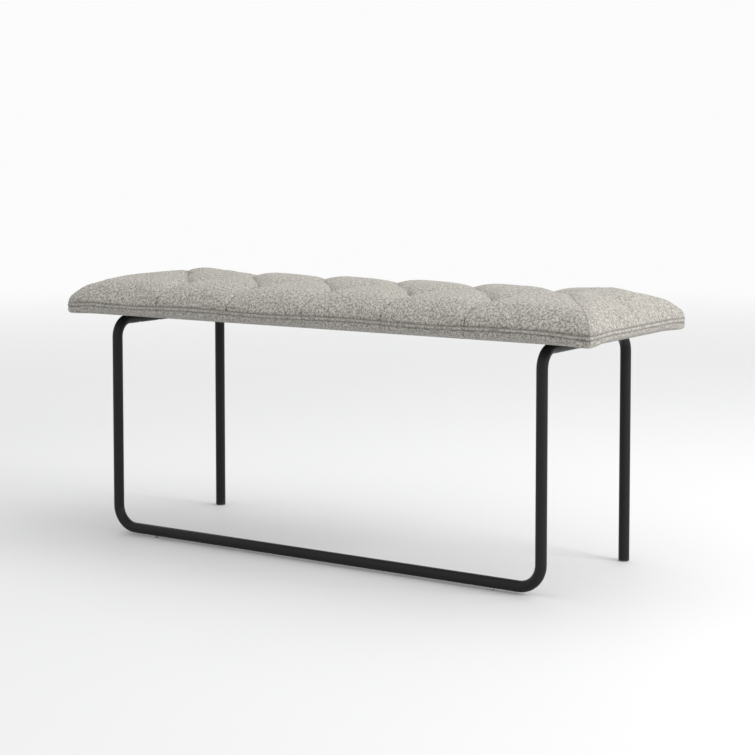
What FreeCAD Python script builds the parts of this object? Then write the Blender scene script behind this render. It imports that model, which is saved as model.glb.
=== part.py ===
import FreeCAD, Part
import os
import re

import Sketcher

# Entryway bench: a tufted, upholstered seat bolted to a bent round-tube frame.
#
# X runs along the bench, the front faces -Y and +Z is up. The origin is on the floor under
# the middle of the bench. All sizes are in millimetres.
#
# The frame starts at a rear foot, goes up, forward under the seat, down to the front, along
# the floor, and back the same way at the other end. It is made in three tubes, which meet
# halfway along each side rail over a sleeve. The seat is a plywood board with a foam core,
# a fibre wrap and a fabric cover that is drawn down in three staggered rows of tufts.

SIZES = {
    # overall
    "seat_length": 1096.0,
    "seat_depth": 368.0,
    "seat_thickness": 79.5,
    "frame_height": 409.5,
    # frame: the insets are from the seat's outline to the leg's axis
    "leg_side_inset": 100.5,
    "leg_front_inset": 30.75,
    "tube_diameter": 19.0,
    "tube_wall": 1.5,
    "top_bend_radius": 32.0,
    "bottom_bend_radius": 40.0,
    "sleeve_length": 50.0,
    "sleeve_wall": 2.0,
    "slide_clearance": 0.1,
    # feet
    "foot_height": 3.0,
    "foot_edge": 2.4,
    "plug_length": 14.0,
    "glide_radius": 4.5,
    "glide_rise": 2.0,
    "glide_stem_radius": 2.0,
    "glide_stem_reach": 3.0,
    "glide_inset": 90.0,
    # seat bolts, whose heads sit inside the side rails and whose shanks pass up into nuts in the board
    "bolt_radius": 3.0,
    "bolt_tip_gap": 2.2,
    "bolt_hole_radius": 3.3,
    "bolt_head_radius": 5.25,
    "bolt_head_height": 3.3,
    "bolt_head_round": 1.6,
    "bolt_socket_radius": 2.3,
    "bolt_socket_depth": 2.0,
    "bolt_sleeve_margin": 10.0,
    "bolt_bend_margin": 31.0,
    "saddle_radius": 5.6,
    "saddle_rim": 0.8,
    "access_clearance": 0.6,
    "nut_flange_radius": 9.5,
    "nut_flange_height": 1.5,
    "nut_barrel_radius": 4.0,
    "nut_barrel_length": 10.5,
    # board and the layers under it
    "board_thickness": 15.0,
    "board_side_inset": 23.0,
    "board_front_inset": 19.0,
    "board_corner": 14.0,
    "dust_cover_thickness": 0.5,
    "dust_cover_inset": 31.0,
    # fabric and filling
    "fabric": 1.2,
    "corner_round": 20.0,
    "cover_upright": 10.5,
    "wrap_thickness": 6.0,
    "band_height": 13.5,
    "turn_under": 30.0,
    "welt_diameter": 7.0,
    "welt_proud": 1.0,
    # tufts: the insets are from the seat's outline to the outermost tufts
    "tuft_side_inset": 143.0,
    "tuft_front_inset": 88.0,
    "tuft_depth": 32.0,
    "tuft_floor_radius": 3.0,
    "tuft_mouth_radius": 30.0,
    "twine_radius": 1.2,
    "twine_hole_radius": 3.0,
    "anchor_radius": 8.0,
    "anchor_thickness": 1.2,
    # staples
    "staple_width": 10.0,
    "staple_leg": 6.0,
    "staple_wire": 0.7,
    "staple_inset": 40.0,
}

# The staples along a long edge and along a short edge, and the tufts in each row.
LONG_EDGE_STAPLES = 14
SHORT_EDGE_STAPLES = 4
OUTER_ROW_TUFTS = 5
MIDDLE_ROW_TUFTS = 6

# Distances that follow from the sizes.
LEG_X = "(seat_length / 2 - leg_side_inset)"
LEG_Y = "(seat_depth / 2 - leg_front_inset)"
INNER_BOLT = "(sleeve_length / 2 + bolt_sleeve_margin)"
OUTER_BOLT = f"({LEG_Y} - top_bend_radius - bolt_bend_margin)"
TUFT_PITCH = f"((seat_length - 2 * tuft_side_inset) / {MIDDLE_ROW_TUFTS - 1})"
TUFT_ROW = "(seat_depth / 2 - tuft_front_inset)"

# Levels above the floor that several pieces share.
SEAT_TOP = "(frame_height + seat_thickness)"
TUFT_FLOOR = f"({SEAT_TOP} - tuft_depth)"
RAIL_AXIS = "(frame_height - tube_diameter / 2)"
RUNNER_AXIS = "(foot_height + tube_diameter / 2)"
BORE = "(tube_diameter / 2 - tube_wall)"
CLOTH_BOTTOM = "(frame_height + dust_cover_thickness)"
BOARD_BOTTOM = f"({CLOTH_BOTTOM} + fabric)"
BOARD_TOP = f"({BOARD_BOTTOM} + board_thickness)"
WELT_AXIS = f"({CLOTH_BOTTOM} + band_height + welt_diameter / 2)"
COVER_BOTTOM = f"({CLOTH_BOTTOM} + band_height + welt_diameter)"
WASHER_BOTTOM = f"({RAIL_AXIS} + sqrt({BORE} ^ 2 - saddle_radius ^ 2) - saddle_rim)"
BOLT_LENGTH = f"({BOARD_TOP} - bolt_tip_gap - {WASHER_BOTTOM})"
CROWN_ROUND = f"({SEAT_TOP} - {COVER_BOTTOM} - cover_upright)"

X, Y, Z = (FreeCAD.Vector(*axis) for axis in ((1, 0, 0), (0, 1, 0), (0, 0, 1)))
SIDES = {"left": -1, "right": 1}

doc = FreeCAD.newDocument("entryway_bench")
sheet = doc.addObject("Spreadsheet::Sheet", "Sizes")
for row, (alias, value) in enumerate(SIZES.items(), start=1):
    sheet.set(f"A{row}", alias)
    sheet.set(f"B{row}", str(value))
    sheet.setAlias(f"B{row}", alias)
doc.recompute()


# ---------------------------------------------------------------- helpers

def in_sheet(text):
    """The expression with each size's name made a reference to its cell."""
    return re.sub(r"[a-z_]+", lambda word: f"Sizes.{word[0]}" if word[0] in SIZES else word[0], str(text))


def bind(thing, **sizes):
    for name, text in sizes.items():
        thing.setExpression(name, in_sheet(text))


def place(thing, x=0, y=0, z=0, turn=FreeCAD.Rotation()):
    thing.Placement = FreeCAD.Placement(FreeCAD.Vector(), turn)
    for axis, text in zip("xyz", (x, y, z)):
        thing.setExpression(f"Placement.Base.{axis}", in_sheet(text))


def primitive(kind, name, where=(0, 0, 0), turn=FreeCAD.Rotation(), **sizes):
    thing = doc.addObject(f"Part::{kind}", name)
    bind(thing, **sizes)
    place(thing, *where, turn)
    return thing


def rod(name, radius, length, where=(0, 0, 0), along=Z):
    return primitive("Cylinder", name, where, FreeCAD.Rotation(Z, along), Radius=radius, Height=length)


def join(name, pieces):
    fused = doc.addObject("Part::MultiFuse", name)
    fused.Shapes = pieces
    fused.Refine = True
    return fused


def cut(name, base, *tools):
    tool = tools[0]
    if len(tools) > 1:
        tool = doc.addObject("Part::Compound", f"{name}_tools")
        tool.Links = list(tools)
    result = doc.addObject("Part::Cut", name)
    result.Base, result.Tool = base, tool
    return result


def group(name, pieces):
    """Identical pieces that share one node, as separate solids."""
    grouped = doc.addObject("Part::Compound", name)
    grouped.Links = pieces
    return grouped


def copies(master, name, places, turns=None):
    """Linked copies of a master piece, one at each place."""
    links = []
    for number, where in enumerate(places, start=1):
        link = doc.addObject("App::Link", f"{name}_{number}")
        link.LinkedObject = master
        place(link, *where, turns[number - 1] if turns else FreeCAD.Rotation())
        links.append(link)
    return links


def plus(start, direction, distance):
    """The point a distance along a unit axis from a point, as expressions."""
    return [f"{at} + {int(step)} * ({distance})" if step else at for at, step in zip(start, direction)]


def bent_bar(name, radius, start, runs):
    """A round bar along straight runs, each (direction, length to the next corner, radius of the bend there)."""
    pieces, corner, bend_before = [], start, "0"
    for number, (direction, length, bend) in enumerate(runs):
        foot = plus(corner, direction, bend_before)
        pieces.append(rod(f"{name}_run_{number}", radius, f"{length} - {bend_before} - {bend}", foot, direction))
        corner = plus(corner, direction, length)
        bend_before = bend
        if number + 1 < len(runs):
            onward = runs[number + 1][0]
            centre = plus(plus(corner, -direction, bend), onward, bend)
            turn = FreeCAD.Rotation(-onward, direction, direction.cross(onward), "XYZ")
            pieces.append(primitive("Torus", f"{name}_bend_{number}", centre, turn,
                                    Radius1=bend, Radius2=radius, Angle3=90))
    return join(name, pieces)


def bent_tube(name, start, runs):
    outside = bent_bar(f"{name}_outside", "tube_diameter / 2", start, runs)
    inside = bent_bar(f"{name}_inside", BORE, start, runs)
    return cut(f"{name}_bare", outside, inside)


def origin_plane(body, role):
    return next(plane for plane in body.Origin.OriginFeatures if plane.Role == role)


def value(text):
    """The present value of a size expression."""
    return float(doc.getObject("Sizes").evalExpression(in_sheet(text)))


def rounded_sketch(body, name, role, half_width, low, high, round_low, round_high, lift=0):
    """A rectangle across half_width each side of the middle and from low to high, with rounded corners."""
    sketch = body.newObject("Sketcher::SketchObject", name)
    sketch.AttachmentSupport = (origin_plane(body, role), "")
    sketch.MapMode = "FlatFace"
    sketch.setExpression("AttachmentOffset.Base.z", in_sheet(lift))
    w, bottom, top = value(half_width), value(low), value(high)
    radii = [value(r) if r else 0 for r in (round_low, round_low, round_high, round_high)]
    corners = [(-w, bottom), (w, bottom), (w, top), (-w, top)]
    inward = [(1, 1), (-1, 1), (-1, -1), (1, -1)]
    along = [(1, 0), (0, 1), (-1, 0), (0, -1)]
    for i in range(4):
        (x0, y0), (x1, y1), (dx, dy) = corners[i], corners[(i + 1) % 4], along[i]
        r0, r1 = radii[i], radii[(i + 1) % 4]
        sketch.addGeometry(Part.LineSegment(FreeCAD.Vector(x0 + dx * r0, y0 + dy * r0, 0),
                                            FreeCAD.Vector(x1 - dx * r1, y1 - dy * r1, 0)))
        kind = "Vertical" if dx == 0 else "Horizontal"
        sketch.addConstraint(Sketcher.Constraint(kind, i))
    for i, text in enumerate((round_low, round_low, round_high, round_high)):
        before = (i - 1) % 4
        if not text:
            sketch.addConstraint(Sketcher.Constraint("Coincident", before, 2, i, 1))
            continue
        (cx, cy), (sx, sy), r = corners[i], inward[i], radii[i]
        quarter = i * 90 + 180
        circle = Part.Circle(FreeCAD.Vector(cx + sx * r, cy + sy * r, 0), Z, r)
        start, end = (FreeCAD.Units.Quantity(f"{angle} deg").getValueAs("rad").Value
                      for angle in (quarter, quarter + 90))
        arc = sketch.addGeometry(Part.ArcOfCircle(circle, start, end))
        sketch.addConstraint(Sketcher.Constraint("Tangent", before, 2, arc, 1))
        sketch.addConstraint(Sketcher.Constraint("Tangent", arc, 2, i, 1))
        number = sketch.addConstraint(Sketcher.Constraint("Radius", arc, r))
        sketch.setExpression(f"Constraints[{number}]", in_sheet(text))
    for line, kind, text in ((3, "DistanceX", f"-({half_width})"), (1, "DistanceX", half_width),
                             (0, "DistanceY", low), (2, "DistanceY", high)):
        number = sketch.addConstraint(Sketcher.Constraint(kind, -1, 1, line, 1, value(text)))
        sketch.setExpression(f"Constraints[{number}]", in_sheet(text))
    return sketch


def pad(body, sketch, length, symmetric=False):
    raised = body.newObject("PartDesign::Pad", f"{sketch.Name}_pad")
    raised.Profile = sketch
    raised.SideType = "Symmetric" if symmetric else "One side"
    bind(raised, Length=length)
    sketch.Visibility = False
    return raised


def plan_slab(name, side_inset, front_inset, corner, low, high):
    """A flat slab with rounded corners, inset from the seat's outline, between two levels."""
    body = doc.addObject("PartDesign::Body", name)
    half_depth = f"(seat_depth / 2 - ({front_inset}))"
    sketch = rounded_sketch(body, f"{name}_plan", "XY_Plane", f"(seat_length / 2 - ({side_inset}))",
                            f"-{half_depth}", half_depth, corner, corner, low)
    pad(body, sketch, f"{high} - {low}")
    return body


def crowned_pad(name, inset, low):
    """The seat's crowned outer shape, drawn in all over by an inset, from a level upwards."""
    plan = plan_slab(f"{name}_plan_slab", inset, inset, f"corner_round - ({inset})", low, SEAT_TOP)
    profiles = []
    for role, across, along in (("XZ_Plane", "seat_length", "seat_depth"), ("YZ_Plane", "seat_depth", "seat_length")):
        body = doc.addObject("PartDesign::Body", f"{name}_{role[:2]}_profile")
        sketch = rounded_sketch(body, f"{name}_{role[:2]}_outline", role, f"({across} / 2 - ({inset}))",
                                low, f"{SEAT_TOP} - ({inset})", "", f"{CROWN_ROUND} - ({inset})")
        pad(body, sketch, along, symmetric=True)
        profiles.append(body)
    crowned = doc.addObject("Part::MultiCommon", f"{name}_crown")
    crowned.Shapes = [plan] + profiles
    pits = [primitive("Cone", f"{name}_pit_{number}", (x, y, f"{TUFT_FLOOR} - ({inset})"),
                      Radius1=f"tuft_floor_radius + ({inset})", Radius2=f"tuft_mouth_radius + ({inset})",
                      Height=f"tuft_depth + ({inset})")
            for number, (x, y) in enumerate(TUFTS, start=1)]
    return cut(name, crowned, *pits)


def tuft_row(count, y):
    return [(f"({2 * number - count + 1} * {TUFT_PITCH} / 2)", y) for number in range(count)]


TUFTS = (tuft_row(OUTER_ROW_TUFTS, f"-{TUFT_ROW}") + tuft_row(MIDDLE_ROW_TUFTS, "0")
         + tuft_row(OUTER_ROW_TUFTS, TUFT_ROW))

# Each bolt's (x, y), with the front pair of a rail first.
BOLTS = [(f"{side} * {LEG_X}", f"{way} * {offset}")
         for side in SIDES.values() for way in (-1, 1) for offset in (INNER_BOLT, OUTER_BOLT)]


def bolt_holes(name, low, high, radius="bolt_hole_radius"):
    return group(name, [rod(f"{name}_{number}", radius, f"{high} - {low}", (x, y, low))
                        for number, (x, y) in enumerate(BOLTS, start=1)])


parts = {}

# ---------------------------------------------------------------- frame

# Each bolt's head and washer go up through an access hole in the rail's lower wall.
shank_holes = bolt_holes("shank_holes", RAIL_AXIS, "frame_height")
access_holes = bolt_holes("access_holes", "(frame_height - tube_diameter)", RAIL_AXIS,
                          "saddle_radius + access_clearance")

front_hoop = bent_tube("front_hoop", [f"-{LEG_X}", "0", RAIL_AXIS], [
    (-Y, LEG_Y, "top_bend_radius"),
    (-Z, f"({RAIL_AXIS} - {RUNNER_AXIS})", "bottom_bend_radius"),
    (X, f"2 * {LEG_X}", "bottom_bend_radius"),
    (Z, f"({RAIL_AXIS} - {RUNNER_AXIS})", "top_bend_radius"),
    (Y, LEG_Y, "0"),
])


def glide_stem(name, side, sign):
    return rod(f"{name}_{side}", "glide_stem_radius", "foot_height + tube_wall + glide_stem_reach",
               (f"{sign} * ({LEG_X} - glide_inset)", f"-{LEG_Y}", "0"))


glide_stems = group("glide_stems", [glide_stem("glide_hole", side, sign) for side, sign in SIDES.items()])
parts["front_hoop"] = cut("front_hoop", front_hoop, shank_holes, access_holes, glide_stems)

for side, sign in SIDES.items():
    leg = bent_tube(f"rear_leg_{side}", [f"{sign} * {LEG_X}", "0", RAIL_AXIS], [
        (Y, LEG_Y, "top_bend_radius"),
        (-Z, f"({RAIL_AXIS} - foot_height)", "0"),
    ])
    parts[f"rear_leg_{side}"] = cut(f"rear_leg_{side}", leg, shank_holes, access_holes)

    # The sleeve holds the hoop and the rear leg in line. Bolts on both sides of it keep the joint closed.
    sleeve_start = (f"{sign} * {LEG_X}", "-sleeve_length / 2", RAIL_AXIS)
    sleeve_radius = f"({BORE} - slide_clearance)"
    outside = rod(f"sleeve_{side}_outside", sleeve_radius, "sleeve_length", sleeve_start, Y)
    inside = rod(f"sleeve_{side}_inside", f"{sleeve_radius} - sleeve_wall", "sleeve_length", sleeve_start, Y)
    parts[f"joiner_sleeve_{side}"] = cut(f"joiner_sleeve_{side}", outside, inside)

# ---------------------------------------------------------------- feet


def rear_foot_cap(side, sign):
    """A plastic cap: a flange as wide as the tube, with a rounded lower edge, and a plug inside it."""
    cap = doc.addObject("PartDesign::Body", f"rear_foot_cap_{side}")
    flange = cap.newObject("PartDesign::AdditiveCylinder", f"cap_flange_{side}")
    bind(flange, Radius="tube_diameter / 2", Height="foot_height")
    plug = cap.newObject("PartDesign::AdditiveCylinder", f"cap_plug_{side}")
    bind(plug, Radius=f"{BORE} - slide_clearance", Height="foot_height + plug_length")
    doc.recompute()
    floor_edge = [f"Edge{number}" for number, edge in enumerate(plug.Shape.Edges, start=1)
                  if edge.BoundBox.ZMax < 1e-6]
    rounding = cap.newObject("PartDesign::Fillet", f"cap_edge_{side}")
    rounding.Base = (plug, floor_edge)
    bind(rounding, Radius="foot_edge")
    place(cap, f"{sign} * {LEG_X}", LEG_Y, 0)
    return cap


def front_glide(side, sign):
    """A round pad that is hollowed to fit the runner, with a stem pressed into a hole in it."""
    x = f"{sign} * ({LEG_X} - glide_inset)"
    disc = rod(f"glide_disc_{side}", "glide_radius", "foot_height + glide_rise", (x, f"-{LEG_Y}", "0"))
    runner = rod(f"glide_runner_{side}", "tube_diameter / 2", "4 * glide_radius",
                 (f"{x} - 2 * glide_radius", f"-{LEG_Y}", RUNNER_AXIS), X)
    return join(f"front_glide_{side}", [cut(f"glide_pad_{side}", disc, runner), glide_stem("glide_pin", side, sign)])


for side, sign in SIDES.items():
    parts[f"rear_foot_cap_{side}"] = rear_foot_cap(side, sign)
    parts[f"front_glide_{side}"] = front_glide(side, sign)

# ---------------------------------------------------------------- seat bolts


def master_bolt():
    """A button-head bolt with a hexagon socket, whose shank starts at the local origin."""
    bolt = doc.addObject("PartDesign::Body", "master_bolt")
    shank = bolt.newObject("PartDesign::AdditiveCylinder", "bolt_shank")
    bind(shank, Radius="bolt_radius", Height=BOLT_LENGTH)
    head = bolt.newObject("PartDesign::AdditiveCylinder", "bolt_head")
    bind(head, Radius="bolt_head_radius", Height="bolt_head_height")
    place(head, z="-bolt_head_height")
    socket = bolt.newObject("PartDesign::SubtractivePrism", "bolt_socket")
    socket.Polygon = 6
    bind(socket, Circumradius="bolt_socket_radius", Height="bolt_socket_depth")
    place(socket, z="-bolt_head_height")
    doc.recompute()
    rim = [f"Edge{number}" for number, edge in enumerate(socket.Shape.Edges, start=1)
           if edge.BoundBox.ZMax < -0.9 * SIZES["bolt_head_height"]
           and edge.BoundBox.XLength > 1.9 * SIZES["bolt_head_radius"]]
    rounding = bolt.newObject("PartDesign::Fillet", "bolt_head_rounding")
    rounding.Base = (socket, rim)
    bind(rounding, Radius="bolt_head_round")
    return bolt


def master_saddle_washer():
    """A washer with a flat lower side, whose upper side is rounded to fit the rail's bore above it."""
    blank = rod("saddle_blank", "saddle_radius", BORE)
    bore = rod("saddle_bore", BORE, "4 * saddle_radius",
               ("0", "-2 * saddle_radius", f"{RAIL_AXIS} - {WASHER_BOTTOM}"), Y)
    rounded = doc.addObject("Part::MultiCommon", "saddle_rounded")
    rounded.Shapes = [blank, bore]
    hole = rod("saddle_hole", "bolt_hole_radius", BORE)
    return cut("master_saddle_washer", rounded, hole)


def master_nut():
    """A threaded barrel under a flange, whose top is at the local origin."""
    flange = rod("nut_flange", "nut_flange_radius", "nut_flange_height", ("0", "0", "-nut_flange_height"))
    barrel = rod("nut_barrel", "nut_barrel_radius", "nut_barrel_length", ("0", "0", "-nut_barrel_length"))
    thread = rod("nut_thread", "bolt_radius", "nut_barrel_length", ("0", "0", "-nut_barrel_length"))
    return cut("master_nut", join("nut_blank", [flange, barrel]), thread)


parts["seat_bolts"] = group("seat_bolts", copies(
    master_bolt(), "seat_bolt", [(x, y, WASHER_BOTTOM) for x, y in BOLTS]))
parts["saddle_washers"] = group("saddle_washers", copies(
    master_saddle_washer(), "saddle_washer", [(x, y, WASHER_BOTTOM) for x, y in BOLTS]))
parts["board_nuts"] = group("board_nuts", copies(
    master_nut(), "board_nut", [(x, y, BOARD_TOP) for x, y in BOLTS]))

# ---------------------------------------------------------------- staples


def staple_places():
    """Where each staple sits under the dust cover, and whether its crown lies along Y."""
    low = "frame_height - staple_wire"
    half_length, half_depth = "(seat_length / 2 - staple_inset)", "(seat_depth / 2 - staple_inset)"
    places, turns = [], []
    for count, across_y in ((LONG_EDGE_STAPLES, False), (SHORT_EDGE_STAPLES, True)):
        for number in range(count):
            share = f"{2 * number - count + 1} / {count}"
            for sign in SIDES.values():
                x = f"{sign} * {half_length}" if across_y else f"{half_length} * {share}"
                y = f"{half_depth} * {share}" if across_y else f"{sign} * {half_depth}"
                places.append((x, y, low))
                turns.append(FreeCAD.Rotation(Z, 90 if across_y else 0))
    return places, turns


staple_block = primitive("Box", "staple_block", ("-staple_width / 2", "-staple_wire / 2", "0"),
                         Length="staple_width", Width="staple_wire", Height="staple_leg + staple_wire")
staple_gap = primitive("Box", "staple_gap", ("staple_wire - staple_width / 2", "-staple_wire", "staple_wire"),
                       Length="staple_width - 2 * staple_wire", Width="2 * staple_wire", Height="staple_leg")
staple = cut("master_staple", staple_block, staple_gap)
parts["staples"] = group("staples", copies(staple, "staple", *staple_places()))

# ---------------------------------------------------------------- tufting twine

parts["tuft_twines"] = group("tuft_twines", [
    rod(f"tuft_twine_{number}", "twine_radius", f"{TUFT_FLOOR} - fabric - {CLOTH_BOTTOM}", (x, y, CLOTH_BOTTOM))
    for number, (x, y) in enumerate(TUFTS, start=1)])
parts["twine_anchors"] = group("twine_anchors", [
    cut(f"twine_anchor_{number}",
        rod(f"anchor_disc_{number}", "anchor_radius", "anchor_thickness", (x, y, f"{BOARD_BOTTOM} - anchor_thickness")),
        rod(f"anchor_hole_{number}", "twine_radius", "anchor_thickness", (x, y, f"{BOARD_BOTTOM} - anchor_thickness")))
    for number, (x, y) in enumerate(TUFTS, start=1)])

# ---------------------------------------------------------------- board and dust cover

board_blank = plan_slab("board_blank", "board_side_inset", "board_front_inset", "board_corner",
                        BOARD_BOTTOM, BOARD_TOP)
twine_holes = group("twine_holes", [
    rod(f"twine_hole_{number}", "twine_hole_radius", "board_thickness", (x, y, BOARD_BOTTOM))
    for number, (x, y) in enumerate(TUFTS, start=1)])
nut_seats = group("nut_seats", [
    rod(f"nut_seat_{number}", "nut_flange_radius", "nut_flange_height", (x, y, f"{BOARD_TOP} - nut_flange_height"))
    for number, (x, y) in enumerate(BOLTS, start=1)])
nut_holes = bolt_holes("nut_holes", BOARD_BOTTOM, BOARD_TOP, "nut_barrel_radius")
parts["seat_board"] = cut("seat_board", board_blank, twine_holes, nut_seats, nut_holes, parts["staples"])

dust_blank = plan_slab("dust_blank", "dust_cover_inset", "dust_cover_inset", "board_corner",
                       "frame_height", CLOTH_BOTTOM)
dust_holes = bolt_holes("dust_holes", "frame_height", CLOTH_BOTTOM)
parts["dust_cover"] = cut("dust_cover", dust_blank, dust_holes, parts["staples"])

# ---------------------------------------------------------------- welt

welt = doc.addObject("PartDesign::Body", "welt_cord")
welt_inset = "(welt_diameter / 2 - welt_proud)"
welt_half_depth = f"(seat_depth / 2 - {welt_inset})"
welt_path = rounded_sketch(welt, "welt_path", "XY_Plane", f"(seat_length / 2 - {welt_inset})",
                           f"-{welt_half_depth}", welt_half_depth, "corner_round", "corner_round", WELT_AXIS)
welt_section = welt.newObject("Sketcher::SketchObject", "welt_section")
welt_section.AttachmentSupport = (origin_plane(welt, "YZ_Plane"), "")
welt_section.MapMode = "FlatFace"
welt_section.addGeometry(Part.Circle(FreeCAD.Vector(value(f"-{welt_half_depth}"), value(WELT_AXIS), 0), Z,
                                     value("welt_diameter / 2")))
for kind, text in (("DistanceX", f"-{welt_half_depth}"), ("DistanceY", WELT_AXIS)):
    number = welt_section.addConstraint(Sketcher.Constraint(kind, -1, 1, 0, 3, value(text)))
    welt_section.setExpression(f"Constraints[{number}]", in_sheet(text))
number = welt_section.addConstraint(Sketcher.Constraint("Radius", 0, value("welt_diameter / 2")))
welt_section.setExpression(f"Constraints[{number}]", in_sheet("welt_diameter / 2"))
doc.recompute()
welt_pipe = welt.newObject("PartDesign::AdditivePipe", "welt_pipe")
welt_pipe.Profile = welt_section
welt_pipe.Spine = (welt_path, [f"Edge{number + 1}" for number in range(len(welt_path.Shape.Edges))])
parts["welt_cord"] = welt

# ---------------------------------------------------------------- filling and fabric

BEHIND_FABRIC = "fabric"
BEHIND_WRAP = "fabric + wrap_thickness"
cover_outside = crowned_pad("cover_outside", "0", COVER_BOTTOM)
cover_inside = crowned_pad("cover_inside", BEHIND_FABRIC, COVER_BOTTOM)
parts["seat_cover"] = cut("seat_cover", cover_outside, cover_inside, welt)

wrap_outside = crowned_pad("wrap_outside", BEHIND_FABRIC, BOARD_BOTTOM)
foam_outside = crowned_pad("foam_outside", BEHIND_WRAP, BOARD_TOP)
parts["foam_core"] = cut("foam_core", foam_outside, parts["tuft_twines"])
parts["fibre_wrap"] = cut("fibre_wrap", wrap_outside, foam_outside, board_blank, parts["tuft_twines"], welt)

band_outside = plan_slab("band_outside", "0", "0", "corner_round", CLOTH_BOTTOM,
                         f"({CLOTH_BOTTOM} + band_height)")
band_inside = plan_slab("band_inside", "fabric", "fabric", "corner_round - fabric", BOARD_BOTTOM,
                        f"({CLOTH_BOTTOM} + band_height)")
band_window = plan_slab("band_window", "board_side_inset + turn_under", "board_front_inset + turn_under",
                        "board_corner", CLOTH_BOTTOM, BOARD_BOTTOM)
parts["border_band"] = cut("border_band", band_outside, band_inside, band_window, parts["staples"])

# ---------------------------------------------------------------- check and write

doc.recompute()
failed = [thing.Name for thing in doc.Objects if {"Invalid", "Error"} & set(thing.State)]
if failed:
    raise RuntimeError(f"objects that failed: {failed}")

for name, part in parts.items():
    part.Label = name
    if part.Shape.isNull() or not part.Shape.isValid() or not part.Shape.Solids:
        raise RuntimeError(f"{name} has no valid solid")

os.makedirs("parts", exist_ok=True)
for name, part in parts.items():
    part.Shape.exportStep(f"parts/{name}.step")
    box = part.Shape.BoundBox
    print(f"{name:24s} {len(part.Shape.Solids):3d} solid(s) {part.Shape.Volume / 1000:10.2f} cm3"
          f"  x {box.XMin:8.2f} {box.XMax:8.2f}  y {box.YMin:8.2f} {box.YMax:8.2f}  z {box.ZMin:7.2f} {box.ZMax:7.2f}")
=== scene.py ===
# %% [markdown]
# # An entryway bench: a diamond-tufted seat on a frame of bent tube
#
# The engineering model holds the frame, the board and every fastener at their true places. This script
# dresses it: it upholsters the seat, gives each part its finish, and sets a small studio round the bench.
# Nothing of the engineering model moves.

# %% Load the fixed frame
import math

import bmesh
import bpy
import numpy as np
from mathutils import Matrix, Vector


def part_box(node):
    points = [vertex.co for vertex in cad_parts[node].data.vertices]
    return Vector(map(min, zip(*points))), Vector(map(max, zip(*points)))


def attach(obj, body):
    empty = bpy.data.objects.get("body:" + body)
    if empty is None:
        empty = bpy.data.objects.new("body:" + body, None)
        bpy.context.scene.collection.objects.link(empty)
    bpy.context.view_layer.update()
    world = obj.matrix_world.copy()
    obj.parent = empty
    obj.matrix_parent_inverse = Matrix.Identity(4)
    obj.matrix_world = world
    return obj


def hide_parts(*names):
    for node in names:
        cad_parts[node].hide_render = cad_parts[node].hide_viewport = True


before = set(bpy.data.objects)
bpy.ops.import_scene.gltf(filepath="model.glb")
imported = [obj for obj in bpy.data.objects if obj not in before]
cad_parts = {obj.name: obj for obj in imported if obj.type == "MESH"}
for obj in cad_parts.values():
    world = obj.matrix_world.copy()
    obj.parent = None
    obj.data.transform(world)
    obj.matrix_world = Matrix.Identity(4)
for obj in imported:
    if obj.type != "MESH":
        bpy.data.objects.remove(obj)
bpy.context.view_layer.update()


# %% One way to put things into the scene
def placed(name, data):
    """A new object in the scene that holds this mesh, lamp or camera."""
    thing = bpy.data.objects.new(name, data)
    bpy.context.scene.collection.objects.link(thing)
    return thing


# %% [markdown]
# ## The sizes that everything else is measured from
#
# An upholsterer measures the frame before cutting cloth, and so do we. The corners of the nodes give the
# seat's outline, where the welt runs and how far down the band goes. The tufts are where their twines
# are. The twines share one node, so its corners are sorted into heaps that stand close together.

# %% Measure the seat
MM = 0.001


def heaps(node, reach):
    """The middles of a node's separate solids, each at least reach away from the next."""
    piles = []
    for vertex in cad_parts[node].data.vertices:
        spot = Vector(vertex.co)
        near = [pile for pile in piles if (pile[0] - spot).xy.length < reach]
        if near:
            near[0].append(spot)
        else:
            piles.append([spot])
    return [sum(pile, Vector()) / len(pile) for pile in piles]


cover_low, cover_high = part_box("seat_cover")
welt_low, welt_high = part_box("welt_cord")
band_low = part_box("border_band")[0]
board_low, board_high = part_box("seat_board")
seat_half = np.array([cover_high.x, cover_high.y])
welt_radius = (welt_high.z - welt_low.z) / 2
tufts = heaps("tuft_twines", 20 * MM)
row_gap = max(tuft.y for tuft in tufts)
half_pitch = min(tuft.x for tuft in tufts if tuft.x > 0 and abs(tuft.y) < row_gap / 2)
print(len(tufts), "tufts, half pitch", round(half_pitch, 4), "rows", round(row_gap, 4), "apart")

# %% [markdown]
# ## The camera
#
# The bench is seen from its right front corner, a little above the seat and some way off, through a long
# lens. A slight downward tilt and some shift keep the legs close to upright.

# %% Place the camera
CAMERA_SPOT = Vector((1.8016, -2.6910, 0.7299))
CAMERA_TURN = math.radians(33.323)
CAMERA_TILT = math.radians(3.853)
LENS = 86.155
SHIFT = -0.15

camera = placed("camera", bpy.data.cameras.new("camera"))
camera.location = CAMERA_SPOT
camera.rotation_euler = (math.pi / 2 - CAMERA_TILT, 0, CAMERA_TURN)
camera.data.lens = LENS
camera.data.shift_y = SHIFT
bpy.context.scene.camera = camera
bpy.context.scene.view_settings.view_transform = "Standard"

# %% [markdown]
# ## Writing materials as sums
#
# A finish is a small picture worked out at each point: mixes, waves and noise. Wiring such nodes one by
# one is hard to read, so one class wraps a node tree and another wraps the value that comes out of a
# node. Sums on values add their own nodes, and any other node comes from the tree's `node` method.


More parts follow.
